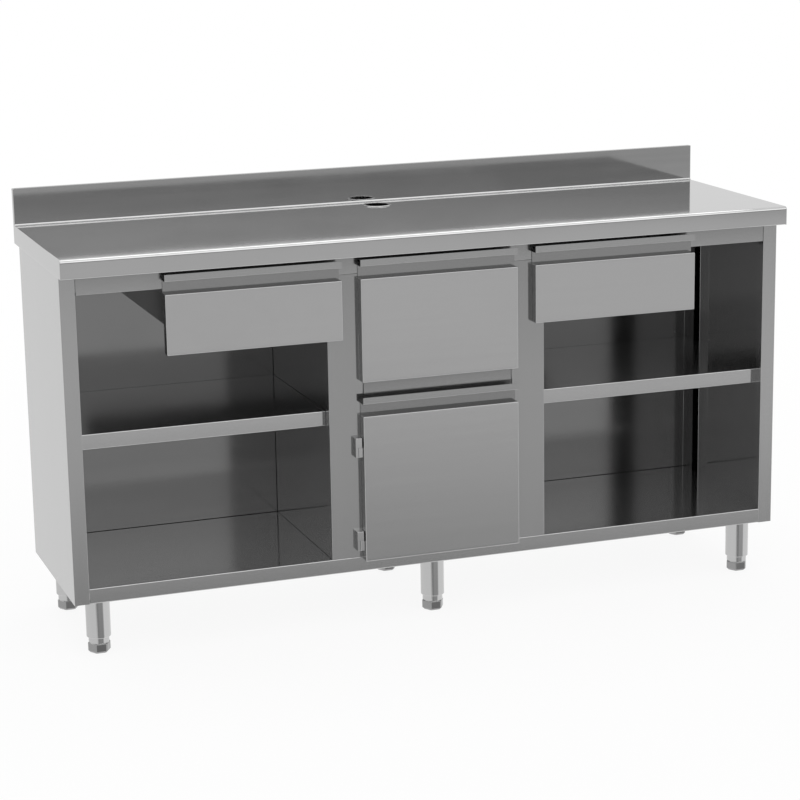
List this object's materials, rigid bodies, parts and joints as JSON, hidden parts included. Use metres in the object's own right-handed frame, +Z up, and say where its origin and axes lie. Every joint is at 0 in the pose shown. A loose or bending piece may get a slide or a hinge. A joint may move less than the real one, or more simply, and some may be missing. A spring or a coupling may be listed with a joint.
{
  "type": "coffee machine counter",
  "caption": "Stainless steel back-bar counter on legs with open shelved bays, drawers, a cupboard door and an upstand.",
  "frame": {"origin": "on the floor under the middle of the worktop", "axes": "+X along the counter to the right, -Y towards the user, +Z up"},
  "size_m": [2, 0.6, 1.15],
  "materials": {
    "satin_steel": "satin sheet",
    "bright_steel": "bright turned or cast steel",
    "zinc_steel": "zinc-plated",
    "black_rubber": "matt sleeve",
    "grey_plastic": "moulded"
  },
  "bodies": {
    "frame": {"worktop": "satin_steel", "left_side_panel": "satin_steel", "right_side_panel": "satin_steel", "left_divider": "satin_steel", "right_divider": "satin_steel", "back_panel": "satin_steel", "base_shelf": "satin_steel", "top_front_rail": "satin_steel", "mid_rail": "satin_steel", "left_shelf": "satin_steel", "right_shelf": "satin_steel", "left_drawer_carrier": "satin_steel", "right_drawer_carrier": "satin_steel", "cable_grommet": "bright_steel", "upper_hinge_frame_leaf": "bright_steel", "lower_hinge_frame_leaf": "bright_steel", "leg_front_left": "bright_steel", "leg_front_centre": "bright_steel", "leg_front_right": "bright_steel", "leg_rear_left": "bright_steel", "leg_rear_centre": "bright_steel", "leg_rear_right": "bright_steel", "worktop_stiffener": "zinc_steel", "left_shelf_outer_bracket": "zinc_steel", "left_shelf_inner_bracket": "zinc_steel", "right_shelf_outer_bracket": "zinc_steel", "right_shelf_inner_bracket": "zinc_steel", "left_drawer_fixed_runner_left": "zinc_steel", "left_drawer_fixed_runner_right": "zinc_steel", "centre_drawer_fixed_runner_left": "zinc_steel", "centre_drawer_fixed_runner_right": "zinc_steel", "right_drawer_fixed_runner_left": "zinc_steel", "right_drawer_fixed_runner_right": "zinc_steel", "upper_hinge_pin": "zinc_steel", "lower_hinge_pin": "zinc_steel", "door_catch": "grey_plastic"},
    "left_drawer": {"left_drawer_front": "satin_steel", "left_drawer_box": "satin_steel", "left_drawer_moving_runner_left": "zinc_steel", "left_drawer_moving_runner_right": "zinc_steel"},
    "centre_drawer": {"centre_drawer_front": "satin_steel", "centre_drawer_box": "satin_steel", "centre_drawer_moving_runner_left": "zinc_steel", "centre_drawer_moving_runner_right": "zinc_steel", "knock_bar": "black_rubber"},
    "right_drawer": {"right_drawer_front": "satin_steel", "right_drawer_box": "satin_steel", "right_drawer_moving_runner_left": "zinc_steel", "right_drawer_moving_runner_right": "zinc_steel"},
    "door": {"door_skin": "satin_steel", "door_liner": "satin_steel", "upper_hinge_door_leaf": "bright_steel", "lower_hinge_door_leaf": "bright_steel"},
    "front_left_foot": {"foot_front_left": "bright_steel"},
    "front_centre_foot": {"foot_front_centre": "bright_steel"},
    "front_right_foot": {"foot_front_right": "bright_steel"},
    "rear_left_foot": {"foot_rear_left": "bright_steel"},
    "rear_centre_foot": {"foot_rear_centre": "bright_steel"},
    "rear_right_foot": {"foot_rear_right": "bright_steel"}
  },
  "joints": [
    {"name": "left_drawer_slide", "type": "slide", "parent": "frame", "child": "left_drawer", "axis": [0, -1, 0], "range_m": [0, 0.36]},
    {"name": "centre_drawer_slide", "type": "slide", "parent": "frame", "child": "centre_drawer", "axis": [0, -1, 0], "range_m": [0, 0.36]},
    {"name": "right_drawer_slide", "type": "slide", "parent": "frame", "child": "right_drawer", "axis": [0, -1, 0], "range_m": [0, 0.36]},
    {"name": "door_hinge", "type": "hinge", "parent": "frame", "child": "door", "pos_m": [-0.2248, -0.2664, 0.404], "axis": [0, 0, -1], "range_deg": [0, 90]},
    {"name": "front_left_foot_screw", "type": "slide", "parent": "frame", "child": "front_left_foot", "axis": [0, 0, -1], "range_m": [-0.015, 0.025]},
    {"name": "front_centre_foot_screw", "type": "slide", "parent": "frame", "child": "front_centre_foot", "axis": [0, 0, -1], "range_m": [-0.015, 0.025]},
    {"name": "front_right_foot_screw", "type": "slide", "parent": "frame", "child": "front_right_foot", "axis": [0, 0, -1], "range_m": [-0.015, 0.025]},
    {"name": "rear_left_foot_screw", "type": "slide", "parent": "frame", "child": "rear_left_foot", "axis": [0, 0, -1], "range_m": [-0.015, 0.025]},
    {"name": "rear_centre_foot_screw", "type": "slide", "parent": "frame", "child": "rear_centre_foot", "axis": [0, 0, -1], "range_m": [-0.015, 0.025]},
    {"name": "rear_right_foot_screw", "type": "slide", "parent": "frame", "child": "rear_right_foot", "axis": [0, 0, -1], "range_m": [-0.015, 0.025]}
  ]
}
